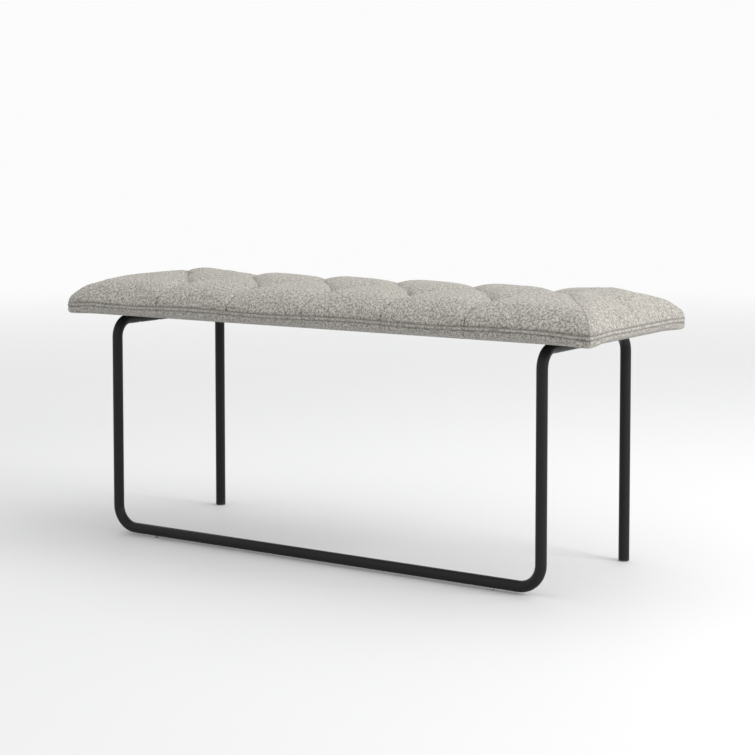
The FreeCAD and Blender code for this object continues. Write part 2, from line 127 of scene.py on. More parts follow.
# %% A value in a node tree, and the tree it belongs to
class Value:
    """What comes out of a node. Arithmetic on it adds Math nodes."""

    def __init__(self, tree, socket):
        self.tree = tree
        self.socket = socket

    def maths(self, operation, *others):
        return self.tree.node("ShaderNodeMath", {"operation": operation}, dict(enumerate([self, *others])))

    def swapped(self, operation, first):
        return self.tree.node("ShaderNodeMath", {"operation": operation}, {0: first, 1: self})

    def __add__(self, other):
        return self.maths("ADD", other)

    def __sub__(self, other):
        return self.maths("SUBTRACT", other)

    def __mul__(self, other):
        return self.maths("MULTIPLY", other)

    def __truediv__(self, other):
        return self.maths("DIVIDE", other)

    def __pow__(self, other):
        return self.maths("POWER", other)

    def __mod__(self, other):
        return self.maths("FLOORED_MODULO", other)

    def __rsub__(self, other):
        return self.swapped("SUBTRACT", other)

    def __rtruediv__(self, other):
        return self.swapped("DIVIDE", other)

    __radd__ = __add__
    __rmul__ = __mul__

    def floor(self):
        return self.maths("FLOOR")

    def sine(self):
        return self.maths("SINE")

    def size(self):
        return self.maths("ABSOLUTE")

    def above(self, edge):
        return self.maths("GREATER_THAN", edge)


class Tree:
    """A node tree that is written as expressions."""

    def __init__(self, nodes):
        self.nodes = nodes

    def feed(self, socket, value):
        if isinstance(value, Value):
            self.nodes.links.new(value.socket, socket)
        else:
            socket.default_value = value

    def node(self, kind, settings=None, inputs=None, output=0):
        node = self.nodes.nodes.new(kind)
        for key, value in (settings or {}).items():
            if key == "stops":
                self.stops(node.color_ramp, value)
            else:
                setattr(node, key, value)
        for key, value in (inputs or {}).items():
            self.feed(node.inputs[key], value)
        return Value(self, node.outputs[output])

    def stops(self, ramp, stops):
        for _ in range(len(stops) - len(ramp.elements)):
            ramp.elements.new(0.5)
        for element, (place, grey) in zip(ramp.elements, stops):
            element.position = place
            element.color = (grey, grey, grey, 1)

    def split(self, vector):
        axes = self.node("ShaderNodeSeparateXYZ", inputs={0: vector}).socket.node
        return [Value(self, socket) for socket in axes.outputs]

    def join(self, x, y, z=0.0):
        return self.node("ShaderNodeCombineXYZ", inputs={0: x, 1: y, 2: z})


class Finish(Tree):
    """A material: a Principled shader whose sockets are fed by expressions."""

    def __init__(self, name, **constants):
        self.material = bpy.data.materials.new(name)
        self.material.use_nodes = True
        super().__init__(self.material.node_tree)
        self.shader = self.nodes.nodes["Principled BSDF"]
        for key, value in constants.items():
            self.set(key, value)

    def set(self, key, value):
        self.feed(self.shader.inputs[key.replace("_", " ")], value)

    def place(self):
        return self.node("ShaderNodeTexCoord", output="Object")

    def cloth_place(self):
        return self.node("ShaderNodeUVMap", {"uv_map": "cloth"})

    def noise(self, where, scale, detail=2.0, roughness=0.5):
        inputs = {"Vector": where, "Scale": scale, "Detail": detail, "Roughness": roughness}
        return self.node("ShaderNodeTexNoise", inputs=inputs)

    def stretched(self, where, stretch):
        return self.node("ShaderNodeVectorMath", {"operation": "MULTIPLY"}, {0: where, 1: stretch})

    def chance(self, x, y):
        return self.node("ShaderNodeTexWhiteNoise", {"noise_dimensions": "3D"}, {"Vector": self.join(x, y)})

    def ramp(self, value, *stops):
        return self.node("ShaderNodeValToRGB", {"stops": stops}, {0: value})

    def mix(self, share, first, second):
        return self.node("ShaderNodeMix", {"data_type": "RGBA"}, {0: share, 6: first, 7: second}, output=2)

    def done(self, colour, roughness, height, depth, strength):
        """Sets the colour, the roughness and a bump of this height, and gives the material."""
        self.set("Base Color", colour)
        self.set("Roughness", roughness)
        inputs = {"Height": height, "Distance": depth, "Strength": strength}
        self.set("Normal", self.node("ShaderNodeBump", inputs=inputs))
        return self.material


def dress(mesh, material):
    """Gives a mesh this one material."""
    mesh.materials.clear()
    mesh.materials.append(material)


def tone(red, green, blue):
    """A colour from its shares of red, green and blue in linear light."""
    return (red, green, blue, 1.0)


# %% [markdown]
# ## The studio
#
# A pale floor: near the bench it is matt and takes soft shadows, and far away it fades into a glow as
# bright as the white sky behind it. That leaves no hard horizon, but from low down the fade shows as a
# soft grey band. One wide lamp to the right gives the seat its bright end and softer front. A second
# hangs overhead, a little behind the bench, so that the top is brighter than the face.

# %% Floor, sky and lamps
SKY = 0.97
FLOOR_NEAR = 1.6
FLOOR_FAR = 5.8
LAMP_AIM = (0, 0, 0.4)


def floor_finish():
    """Matt pale floor that turns into the sky's own glow with distance."""
    paint = Finish("studio_floor", Roughness=0.6, Specular_IOR_Level=0.1)
    x, y, z = paint.split(paint.place())
    far = (x * x + y * y) ** 0.5
    share = paint.ramp((far - FLOOR_NEAR) / (FLOOR_FAR - FLOOR_NEAR), (0.0, 0.0), (1.0, 1.0))
    patches = paint.noise(paint.place(), 1.5)
    paint.set("Base Color", paint.mix(patches, tone(0.67, 0.673, 0.678), tone(0.69, 0.692, 0.696)))
    glow = paint.node("ShaderNodeEmission", inputs={"Color": tone(SKY, SKY, SKY)})
    near_and_far = {0: share, 1: Value(paint, paint.shader.outputs[0]), 2: glow}
    surface = paint.node("ShaderNodeMixShader", inputs=near_and_far)
    paint.feed(paint.nodes.nodes["Material Output"].inputs["Surface"], surface)
    return paint.material


def studio_floor(half=30.0):
    """One square of floor, far larger than the view."""
    mesh = bpy.data.meshes.new("studio_floor")
    corners = [(-half, -half, 0), (half, -half, 0), (half, half, 0), (-half, half, 0)]
    mesh.from_pydata(corners, [], [(0, 1, 2, 3)])
    dress(mesh, floor_finish())
    floor = placed("studio_floor", mesh)


def lamp(name, spot, size, power, colour=(1.0, 1.0, 1.0)):
    """A square soft lamp at spot, turned towards the seat."""
    data = bpy.data.lights.new(name, "AREA")
    data.size = size
    data.energy = power
    data.color = colour
    stand = placed(name, data)
    stand.location = spot
    stand.rotation_euler = (Vector(LAMP_AIM) - Vector(spot)).to_track_quat("-Z", "Y").to_euler()


def sky():
    world = bpy.data.worlds.new("studio_sky")
    world.use_nodes = True
    world.node_tree.nodes["Background"].inputs["Color"].default_value = tone(SKY, SKY, SKY)
    bpy.context.scene.world = world


studio_floor()
sky()
lamp("window_lamp", (3.6, 0.3, 1.9), size=1.8, power=88, colour=(1.0, 0.988, 0.975))
lamp("ceiling_lamp", (0.6, 1.0, 2.6), size=2.2, power=22)

# %% [markdown]
# ## Powder coat, steel and the small plastics
#
# The tube is sprayed with dry powder and baked. It comes out satin, with a fine orange-peel texture, a
# few specks, and slight scuffs low down where shoes and brooms touch it. The other metals and plastics
# get the same treatment at their own scale: a colour that is never quite even, a varying roughness, and a
# fine bump.


# %% Metal and plastic finishes
def powder_coat():
    coat = Finish("powder_coat", Specular_IOR_Level=0.13)
    where = coat.place()
    x, y, z = coat.split(where)
    cloud = coat.noise(where, 14, 4)
    peel = coat.noise(where, 900, 3)
    specks = coat.ramp(coat.noise(where, 420, 1), (0.66, 0.0), (0.74, 1.0))
    low = coat.ramp(z, (0.02, 1.0), (0.09, 0.0))
    scuffs = coat.ramp(coat.noise(coat.stretched(where, (30, 30, 180)), 3, 5), (0.6, 0.0), (0.72, 1.0))
    wear = scuffs * low
    colour = coat.mix(cloud, tone(0.0125, 0.0125, 0.013), tone(0.018, 0.018, 0.0185))
    roughness = 0.3 + cloud * 0.1 + specks * 0.12 + wear * 0.12
    return coat.done(colour, roughness, peel + specks * 0.5, 0.00018, 0.35)


def zinc_plate():
    zinc = Finish("zinc_plate", Metallic=1.0)
    where = zinc.place()
    flakes = zinc.noise(where, 260, 3)
    streaks = zinc.noise(zinc.stretched(where, (1, 14, 14)), 90, 3)
    colour = zinc.mix(flakes, tone(0.46, 0.46, 0.47), tone(0.64, 0.64, 0.63))
    roughness = 0.28 + streaks * 0.2
    return zinc.done(colour, roughness, streaks, 0.0001, 0.3)


def black_oxide():
    oxide = Finish("black_oxide", Metallic=1.0)
    where = oxide.place()
    bloom = oxide.noise(where, 180, 4)
    colour = oxide.mix(bloom, tone(0.03, 0.03, 0.032), tone(0.07, 0.066, 0.062))
    roughness = 0.38 + bloom * 0.22
    return oxide.done(colour, roughness, oxide.noise(where, 1500, 2), 0.0001, 0.3)


def foot_plastic():
    plastic = Finish("foot_plastic", Specular_IOR_Level=0.4)
    where = plastic.place()
    x, y, z = plastic.split(where)
    grain = plastic.noise(where, 1400, 2)
    dust = plastic.ramp(z, (0.0, 1.0), (0.006, 0.0)) * plastic.noise(where, 300, 3)
    colour = plastic.mix(dust, tone(0.024, 0.024, 0.025), tone(0.09, 0.087, 0.082))
    roughness = 0.5 + grain * 0.15
    return plastic.done(colour, roughness, grain, 0.00015, 0.4)


def clear_plastic():
    """The low pads under the runner: clear vinyl, a little milky, with dust where it meets the floor."""
    vinyl = Finish("clear_vinyl", Transmission_Weight=0.75, IOR=1.45)
    where = vinyl.place()
    x, y, z = vinyl.split(where)
    milk = vinyl.noise(where, 420, 3)
    dust = vinyl.ramp(z, (0.0, 0.5), (0.003, 0.0)) * milk
    colour = vinyl.mix(dust, tone(0.86, 0.87, 0.88), tone(0.55, 0.54, 0.52))
    roughness = 0.16 + milk * 0.12
    return vinyl.done(colour, roughness, milk, 0.0001, 0.25)


def staple_wire():
    wire = Finish("staple_wire", Metallic=1.0)
    drawn = wire.noise(wire.stretched(wire.place(), (1, 1, 0.2)), 1200, 2)
    colour = wire.mix(drawn, tone(0.5, 0.5, 0.51), tone(0.68, 0.68, 0.67))
    roughness = 0.25 + drawn * 0.2
    return wire.done(colour, roughness, drawn, 0.0001, 0.3)


def nylon():
    nylon = Finish("anchor_nylon", Subsurface_Weight=0.15, Specular_IOR_Level=0.4)
    where = nylon.place()
    flow = nylon.noise(where, 160, 3)
    colour = nylon.mix(flow, tone(0.66, 0.64, 0.58), tone(0.78, 0.77, 0.72))
    roughness = 0.42 + flow * 0.12
    return nylon.done(colour, roughness, nylon.noise(where, 900, 2), 0.0001, 0.3)


# %% [markdown]
# ## Plywood, twine and the cloth under the seat
#
# The board is raw birch ply. At its edge the plies run as thin dark and light layers, so the pattern is
# read from the height inside the board. The dust cover is black non-woven cloth, a felt of fine fibres
# with small pressed dots.


# %% Board, twine and dust cover finishes
PLIES = 11
TWINE_LAY = 1.6 * MM
DOT_PITCH = 4 * MM


def plywood():
    wood = Finish("birch_plywood", Specular_IOR_Level=0.3)
    where = wood.place()
    x, y, z = wood.split(where)
    figure = wood.noise(wood.stretched(where, (1.2, 14, 14)), 6, 6, 0.6)
    pores = wood.noise(wood.stretched(where, (8, 240, 240)), 4, 3)
    plies = ((z - board_low.z) / (board_high.z - board_low.z) * PLIES * math.pi).sine() * 0.5 + 0.5
    grain = wood.mix(figure, tone(0.62, 0.45, 0.28), tone(0.74, 0.58, 0.4))
    layered = wood.mix(plies * 0.45, grain, tone(0.42, 0.28, 0.16))
    colour = wood.mix(pores * 0.3, layered, tone(0.5, 0.36, 0.22))
    roughness = 0.6 + pores * 0.15
    return wood.done(colour, roughness, pores, 0.0002, 0.4)


def twine():
    twine = Finish("waxed_twine", Sheen_Weight=0.2)
    x, y, z = twine.split(twine.place())
    lay = ((x + y + z) * (2 * math.pi / TWINE_LAY)).sine() * 0.5 + 0.5
    colour = twine.mix(lay, tone(0.4, 0.37, 0.32), tone(0.62, 0.58, 0.5))
    roughness = 0.55 + lay * 0.1
    return twine.done(colour, roughness, lay, 0.0003, 0.5)


def dust_cloth():
    felt = Finish("dust_cloth", Sheen_Weight=0.15, Specular_IOR_Level=0.25)
    where = felt.place()
    x, y, z = felt.split(where)
    fibres = felt.noise(felt.stretched(where, (1, 3, 1)), 500, 5, 0.7)
    turn = 2 * math.pi / DOT_PITCH
    dots = ((x * turn).sine() * (y * turn).sine()).above(0.75)
    colour = felt.mix(fibres, tone(0.012, 0.012, 0.013), tone(0.05, 0.05, 0.053))
    roughness = 0.88 - dots * 0.25
    return felt.done(colour, roughness, fibres - dots * 0.6, 0.0004, 0.6)


# %% [markdown]
# ## The seat cloth
#
# A heathered tweed: each thread is spun from light and dark wool, so its shade drifts along its length.
# The two sets of threads cross in a twill, which slubs, flecks and clouds of wool mostly hide. The
# pattern follows a flat map of the cloth, one unit to a metre, so it bends over the padding as real cloth
# does. Threads are counted by rounding the map down, and chance picks a shade for each run.

# %% The seat cloth's finish
THREAD = 1.6 * MM
RUN_OF_SHADE = 2.6


def seat_cloth(name, shade=1.0):
    cloth = Finish(name, Sheen_Weight=0.3, Specular_IOR_Level=0.2)
    cloth.shader.inputs["Sheen Tint"].default_value = tone(0.95, 0.92, 0.88)
    flat = cloth.cloth_place()
    across, along, unused = cloth.split(flat)
    drift = cloth.noise(flat, 70, 2) * 0.8
    warp = across / THREAD + drift
    weft = along / THREAD + drift
    over = ((warp.floor() + weft.floor()) % 4.0).above(1.5)
    warp_shade = cloth.chance(warp.floor(), (weft / RUN_OF_SHADE + warp.floor() * 0.37).floor())
    weft_shade = cloth.chance((warp / RUN_OF_SHADE + weft.floor() * 0.61).floor(), weft.floor() + 0.5)
    slubs = cloth.noise(cloth.stretched(flat, (1, 1.8, 1)), 260, 2, 0.5)
    flecks = cloth.noise(cloth.stretched(flat, (1.6, 1, 1)), 330, 1, 0.5)
    clouds = cloth.noise(flat, 230, 3, 0.6)
    warp_tone = cloth.mix(warp_shade, tone(0.085, 0.078, 0.067), tone(0.64, 0.614, 0.56))
    weft_tone = cloth.mix(weft_shade, tone(0.16, 0.15, 0.134), tone(0.46, 0.44, 0.4))
    threads = cloth.mix(over, weft_tone, warp_tone)
    mottled = cloth.mix(cloth.ramp(slubs, (0.44, 0.0), (0.62, 0.85)), threads, tone(0.46, 0.44, 0.4))
    darker = cloth.mix(cloth.ramp(flecks, (0.5, 0.0), (0.62, 0.75)), mottled, tone(0.12, 0.112, 0.1))
    light = cloth.mix(cloth.ramp(clouds, (0.46, 0.0), (0.6, 0.57)), darker, tone(0.54, 0.518, 0.47))
    even = cloth.mix(cloth.ramp(clouds, (0.42, 0.52), (0.52, 0.0)), light, tone(0.17, 0.162, 0.146))
    # Painted light: the welt and the band are this same cloth, and their copies are scaled lighter to stand
    # in for how light falls on them.
    painted_light_tone = cloth.node("ShaderNodeVectorMath", {"operation": "SCALE"}, {0: even, "Scale": shade})
    # Painted shade: the cloth turns towards this dark tone in the creases, pits and grooves that the mesh
    # marks, where shade falls.
    seam = cloth.node("ShaderNodeAttribute", {"attribute_name": "seam"}, output=2)
    colour = cloth.mix(seam, painted_light_tone, tone(0.055, 0.05, 0.045))
    crown = over * ((warp % 1.0) * math.pi).sine() + (1 - over) * ((weft % 1.0) * math.pi).sine()
    fuzz = cloth.noise(flat, 1800, 2)
    roughness = 0.82 + fuzz * 0.12
    return cloth.done(colour, roughness, crown + slubs * 1.2 + fuzz * 0.4, 0.0006, 0.8)


# %% [markdown]
# ## The shape of the seat before it is tufted
#
# Foam and wadding on a board make a long pillow: it is highest along the middle, falls slowly towards
# every edge, and rolls over to meet the welt upright. The rule is a rounded edge times a gentle crown,
# once for the long sides and once for the ends, and the lower of the two counts. Where they cross, four
# soft ridges run to the corners.

# %% The crown of the seat
SIDE_ROUND = 60 * MM
SIDE_CROWN = 0.483
END_ROUND = 60 * MM
END_POWER = 1.78
END_CROWN = 0.346
END_REACH = 200 * MM
RIDGE = 10.0
CORNER_ZONE = 60 * MM
CORNER_PULL = 0.05
CORNER_POWER = 6
HANG = 3.5 * MM
HANG_REACH = 75 * MM
WAVE = 1.3 * MM
SEAT_RISE = cover_high.z - 0.5 * MM
LUMP_REACH = 38 * MM
LUMPS = [(-0.395, 0.045, 6.8 * MM), (-0.395, -0.045, 3.2 * MM), (-0.34, 0.03, 1.5 * MM),
         (0.462, 0.055, 7.0 * MM), (0.5, 0.05, 4.5 * MM), (0.46, -0.05, 3.0 * MM)]


def rounded(share, power=2.0):
    """Height, from 0 to 1, of a rounded edge at this share of its width."""
    return (1 - (1 - np.clip(share, 0, 1)) ** power) ** (1 / power)


def smooth(share):
    share = np.clip(share, 0, 1)
    return share * share * (3 - 2 * share)


def corner_hang(x, y):
    """How far the lower edge is drawn up: nothing at a corner, HANG along the straight sides."""
    near_end = (seat_half[0] - abs(x)) / HANG_REACH
    near_side = (seat_half[1] - abs(y)) / HANG_REACH
    return HANG * smooth(np.maximum(near_end, near_side))


def edge_wave(x, y):
    """The long sewn edges are never quite straight: they rise and fall once for every two tufts."""
    return WAVE * np.cos(math.pi / 2 * (x / half_pitch - 1)) * corner_hang(x, y) / HANG


def lumps(x, y):
    """Hand-laid filling is never even: there is a little more of it at a few places."""
    return sum(rise * np.exp(-((x - at_x) ** 2 + (y - at_y) ** 2) / LUMP_REACH ** 2)
               for at_x, at_y, rise in LUMPS)


def crown_height(x, y):
    """Height of the padding over the board at a place on the seat's plan."""
    from_side = seat_half[1] - abs(y)
    from_end = seat_half[0] - abs(x)
    side = rounded(from_side / SIDE_ROUND) * (1 - SIDE_CROWN * (y / seat_half[1]) ** 2)
    slope = np.clip(1 - from_end / END_REACH, 0, 1) ** 2
    end = rounded(from_end / END_ROUND, END_POWER) * (1 - END_CROWN * slope)
    share = (np.maximum(side, 1e-4) ** -RIDGE + np.maximum(end, 1e-4) ** -RIDGE - 1) ** (-1 / RIDGE)
    foot = cover_low.z + corner_hang(x, y) + edge_wave(x, y)
    return foot + (SEAT_RISE - foot) * share + lumps(x, y) * share


def round_corner(x, y):
    """Draws the corners of the square plan in, so that they are rounded."""
    out_x = np.clip((abs(x) - seat_half[0] + CORNER_ZONE) / CORNER_ZONE, 0, 1)
    out_y = np.clip((abs(y) - seat_half[1] + CORNER_ZONE) / CORNER_ZONE, 0, 1)
    pull = CORNER_PULL * CORNER_ZONE
    shown_x = x - np.sign(x) * pull * out_x * out_y ** CORNER_POWER
    return shown_x, y - np.sign(y) * pull * out_y * out_x ** CORNER_POWER


# %% [markdown]
# ## Where the threads of the mesh lie
#
# The seams between tufts run slantwise, so the mesh is counted out to suit them: its cells are equal
# shares of the tuft spacing, and each seam runs through cell corners. Outside the last tufts the lines
# are spaced by the length of cloth over the rounded edge, so that they crowd where the seat turns down.

# %% Grid lines across and along the seat
FINE = 42
COARSE_STEP = 3
END_CELLS = 72
SIDE_CELLS = 39
PROFILE_SAMPLES = 4000


def edge_lines(start, stop, cells, profile):
    """Places from start to stop that are equal lengths of cloth apart along a profile."""
    places = np.linspace(start, stop, PROFILE_SAMPLES)
    heights = profile(places)
    length = np.concatenate([[0], np.cumsum(np.hypot(np.diff(places), np.diff(heights)))])
    return np.interp(np.linspace(0, length[-1], cells + 1), length, places)


def grid_lines(last_tuft, half, cells_between, edge_cells, profile):
    inner = np.linspace(-last_tuft, last_tuft, cells_between + 1)
    outer = edge_lines(last_tuft, half, edge_cells, profile)
    return np.concatenate([-outer[:0:-1], inner, outer[1:]])


last_tuft = max(tuft.x for tuft in tufts)
lines_x = grid_lines(last_tuft, seat_half[0], round(2 * last_tuft / half_pitch * FINE), END_CELLS,
                     lambda x: crown_height(x, 0.0 * x))
lines_y = grid_lines(row_gap, seat_half[1], 2 * FINE, SIDE_CELLS, lambda y: crown_height(0.0 * y, y))
print("grid", len(lines_x), "by", len(lines_y))

# %% [markdown]
# ## Tufts, folds and sewn corners
#
# Each tuft is a twine that pulls one point of the cover down. Between neighbouring tufts the spare cloth
# folds over itself: the puff on one side stands proud and the other tucks under it, so a fold has a lit
# lip and a dark crease, which painted shade deepens. From the outer tufts, folds run down the long faces
# to the welt, and from the last tuft at each end two sewn seams run out to the corners. Every one of these
# lines is kept as a pair of end points with a kind.

# %% Fold lines
TUFT_DEPTH = 14 * MM
PIT_DEPTH = 5 * MM
PIT_RADIUS = 6 * MM
# Painted shade in the pit of each tuft, and how far it spreads.
PAINTED_PIT_SHADE = 0.6
PAINTED_PIT_SHADE_RADIUS = 3 * MM
FOLD_DEPTH = {"top": 8.6 * MM, "face": 6 * MM, "sewn": 2.5 * MM}
FOLD_WIDTH = {"top": 56 * MM, "face": 38 * MM, "sewn": 40 * MM}
ONE_SIDED = -0.06
TUFT_REACH = 52 * MM
LIP = {"top": 1.5 * MM, "face": 1.3 * MM, "sewn": 0.2 * MM}
PROUD_WIDTH = 7 * MM
TUCKED_WIDTH = 4 * MM
TUCKED_SHARE = 0.5
CREASE = {"top": 1.2 * MM, "face": 0.9 * MM, "sewn": 0.9 * MM}
CREASE_WIDTH = 1.3 * MM
PAST_END = 2.5 * MM
# Painted shade along the crease of each kind of fold.
PAINTED_FOLD_SHADE = {"top": 0.6, "face": 0.55, "sewn": 0.7}
PLEAT_LEAN = 4 * MM
PLEAT_FADE, PLEAT_FADE_FROM, PLEAT_FADE_RUN = 0.9, 0.2, 0.7
PLEAT_CRISP_FROM, PLEAT_CRISP_RUN = 0.5, 0.3
SEWN_CRISP_RUN = 0.1
CRISP_MIDWAY, CRISP_POWER = 0.2, 1.5
FOLD_SEED = 7
WANDER_IN_MM = 1.6
WANDER_PHASE = 900
BLEND_POWER = 4


def fold_lines():
    """(start, end, kind) of every fold, each starting at a tuft."""
    lines = []
    for tuft in tufts:
        spot = np.array([tuft.x, tuft.y])
        if abs(tuft.y) > row_gap / 2:
            foot = np.array([tuft.x - PLEAT_LEAN, math.copysign(seat_half[1], tuft.y)])
            lines.append((spot, foot, "face"))
            continue
        for other in tufts:
            if abs(other.y) > row_gap / 2 and abs(other.x - tuft.x) < 1.5 * half_pitch:
                lines.append((spot, np.array([other.x, other.y]), "top"))
        if abs(tuft.x) > last_tuft - half_pitch / 2:
            for side in (-1, 1):
                corner = np.array([math.copysign(seat_half[0], tuft.x), side * seat_half[1]])
                lines.append((spot, corner, "sewn"))
    return lines


def fold_place(x, y, start, end, wander):
    """On the plan: distance to the fold's right, share of the way along, distance past its ends, length."""
    run = end - start
    length = np.hypot(*run)
    reached = ((x - start[0]) * run[0] + (y - start[1]) * run[1]) / length ** 2
    share = np.clip(reached, 0, 1)
    right = np.array([run[1], -run[0]]) / length
    if right[0] < 0:
        right = -right
    away_x = x - start[0] - share * run[0]
    away_y = y - start[1] - share * run[1]
    side = np.sign(away_x * right[0] + away_y * right[1])
    aside = wander * np.sin(math.pi * share) * np.sin(2 * math.pi * share + WANDER_PHASE * wander)
    return np.hypot(away_x, away_y) * side - aside, share, abs(reached - share) * length, length


def crispness(kind, share):
    """How sharp the folded edge is along a fold, from 0 to 1: sharpest where the cloth is held."""
    if kind == "top":
        return CRISP_MIDWAY + (1 - CRISP_MIDWAY) * abs(2 * share - 1) ** CRISP_POWER
    if kind == "face":
        return smooth((share - PLEAT_CRISP_FROM) / PLEAT_CRISP_RUN)
    return smooth(share / SEWN_CRISP_RUN)


def pull_down(x, y):
    """How far the cover is drawn in, how far folded edges stand out, and the painted shade in creases and
    pits.
    """
    dice = np.random.default_rng(FOLD_SEED)
    deep = np.zeros_like(x)
    lips = np.zeros_like(x)
    painted_crease_shades = np.zeros_like(x)
    for start, end, kind in fold_lines():
        wander = dice.uniform(-WANDER_IN_MM, WANDER_IN_MM) * MM
        aside, share, past, length = fold_place(x, y, start, end, wander)
        near_tuft = np.clip(1 - share * length / TUFT_REACH, 0, 1) ** 2
        fade = np.ones_like(share)
        if kind == "top":
            near_tuft = abs(2 * share - 1) ** 2
        if kind == "face":
            fade = 1 - PLEAT_FADE * smooth((share - PLEAT_FADE_FROM) / PLEAT_FADE_RUN)
        if kind == "sewn":
            fade = 1 - share
        depth = FOLD_DEPTH[kind] + (TUFT_DEPTH - FOLD_DEPTH[kind]) * near_tuft
        width = FOLD_WIDTH[kind] * (1 + ONE_SIDED * np.sign(aside))
        deep += (depth * fade * np.clip(1 - abs(aside) / width, 0, 1) ** 2) ** BLEND_POWER
        crisp = crispness(kind, share) * np.exp(-(past / PAST_END) ** 2)
        tucked = -TUCKED_SHARE * np.exp(-aside / TUCKED_WIDTH)
        lip = np.where(aside < 0, np.exp(aside / PROUD_WIDTH), tucked)
        groove = np.exp(-(aside / CREASE_WIDTH) ** 2)
        lips += crisp * (LIP[kind] * lip - CREASE[kind] * groove) * (abs(aside) < width)
        # Painted shade on the crease line, strongest where the fold is crisp.
        painted_crease_shades = np.maximum(painted_crease_shades, PAINTED_FOLD_SHADE[kind] * crisp * groove)
    for tuft in tufts:
        reach = np.hypot(x - tuft.x, y - tuft.y)
        lips -= PIT_DEPTH * np.exp(-(reach / PIT_RADIUS) ** 2)
        # Painted shade in each tuft's pit.
        painted_crease_shades = np.maximum(painted_crease_shades, PAINTED_PIT_SHADE * np.exp(-(reach / PAINTED_PIT_SHADE_RADIUS) ** 2))
    return deep ** (1 / BLEND_POWER), lips, painted_crease_shades


# %% [markdown]
# ## Lay the cover over the padding
#
# The cover is a net of points. Each starts on the crowned padding and moves along the padding's own
# upright, so a fold on the steep front face draws in instead of sliding down. The upright at a point is
# the cross product of the two directions in which the net runs there.


# %% The cover's net of points
def net_uprights(net):
    """Unit vectors square to a net of points, pointing out of the seat."""
    along_x = np.gradient(net, axis=0)
    along_y = np.gradient(net, axis=1)
    up = np.cross(along_x, along_y)
    return up / np.linalg.norm(up, axis=2, keepdims=True)


plan_x, plan_y = np.meshgrid(lines_x, lines_y, indexing="ij")
shown_x, shown_y = round_corner(plan_x, plan_y)
padding = np.stack([shown_x, shown_y, crown_height(plan_x, plan_y)], axis=2)
uprights = net_uprights(padding)
depth, lips, painted_crease_shades = pull_down(plan_x, plan_y)
cover_net = padding - uprights * depth[..., None]
cloth_length_x = np.linspace(-0.5, 0.5, len(lines_x)) * (len(lines_x) - 1) * (half_pitch / FINE)
cloth_length_y = np.linspace(-0.5, 0.5, len(lines_y)) * (len(lines_y) - 1) * (row_gap / FINE)

# %% [markdown]
# ## Let the cloth settle
#
# A real cover is a little too big, and air and foam push it out between the tufts. Blender's cloth does
# the same. The net starts a little taut, and a coarse copy of it is pinned where it is sewn or tied,
# blown up gently from inside and stepped through a few frames. Half of that movement, capped, is carried
# back to the fine net, so that folds stay crisp.

# %% Cloth simulation on a coarse net
SETTLE_FRAMES = 18
SETTLE_CAP = 6 * MM
SETTLE_SHARE = 0.5
TAUT = 4.0 * MM
TAUT_REACH = 70 * MM
FOLD_HOLD = {"top": 0.55, "face": 0.25, "sewn": 0.25}
HOLD_BESIDE_FOLD = 3 * MM
HOLD_ROUND_TUFT = 4 * MM
EDGE_SHARE = 0.9999


def net_mesh(name, net):
    """A mesh of four-sided faces from a net of points."""
    across, along = net.shape[:2]
    index = np.arange(across * along).reshape(across, along)
    faces = np.stack([index[:-1, :-1], index[1:, :-1], index[1:, 1:], index[:-1, 1:]], axis=2)
    mesh = bpy.data.meshes.new(name)
    mesh.from_pydata(net.reshape(-1, 3).tolist(), [], faces.reshape(-1, 4).tolist())
    return mesh


def pin_shares(x, y):
    """How firmly each point of the coarse net is held: 1 where sewn or tied, less along the folds."""
    firm = np.zeros_like(x)
    for start, end, kind in fold_lines():
        aside, share, past, length = fold_place(x, y, start, end, 0.0)
        firm = np.maximum(firm, FOLD_HOLD[kind] * (abs(aside) < HOLD_BESIDE_FOLD))
        firm = np.maximum(firm, np.hypot(x - start[0], y - start[1]) < HOLD_ROUND_TUFT)
    edge = np.maximum(abs(x) / seat_half[0], abs(y) / seat_half[1]) > EDGE_SHARE
    return np.where(edge, 1.0, firm)


def settle(net, x, y):
    """The net after the cloth has settled."""
    piece = placed("settling_cloth", net_mesh("settling_cloth", net))
    held = piece.vertex_groups.new(name="held")
    for number, share in enumerate(pin_shares(x, y).ravel()):
        if share > 0:
            held.add([number], float(share), "REPLACE")
    cloth = piece.modifiers.new("cloth", "CLOTH")
    rules = cloth.settings
    rules.vertex_group_mass = "held"
    rules.pin_stiffness = 2.0
    rules.mass = 0.25
    rules.tension_stiffness = 18
    rules.compression_stiffness = 14
    rules.shear_stiffness = 6
    rules.bending_stiffness = 1.2
    rules.shrink_min = -0.025
    rules.use_pressure = True
    rules.uniform_pressure_force = 2.2
    rules.effector_weights.gravity = 0
    cloth.collision_settings.use_collision = False
    cloth.point_cache.frame_end = SETTLE_FRAMES
    for moment in range(1, SETTLE_FRAMES + 1):
        bpy.context.scene.frame_set(moment)
    evaluated = piece.evaluated_get(bpy.context.evaluated_depsgraph_get())
    flat = np.empty(net.size, dtype=np.float32)
    evaluated.data.vertices.foreach_get("co", flat)
    bpy.context.scene.frame_set(1)
    mesh = piece.data
    bpy.data.objects.remove(piece)
    bpy.data.meshes.remove(mesh)
    return flat.reshape(net.shape).astype(float)


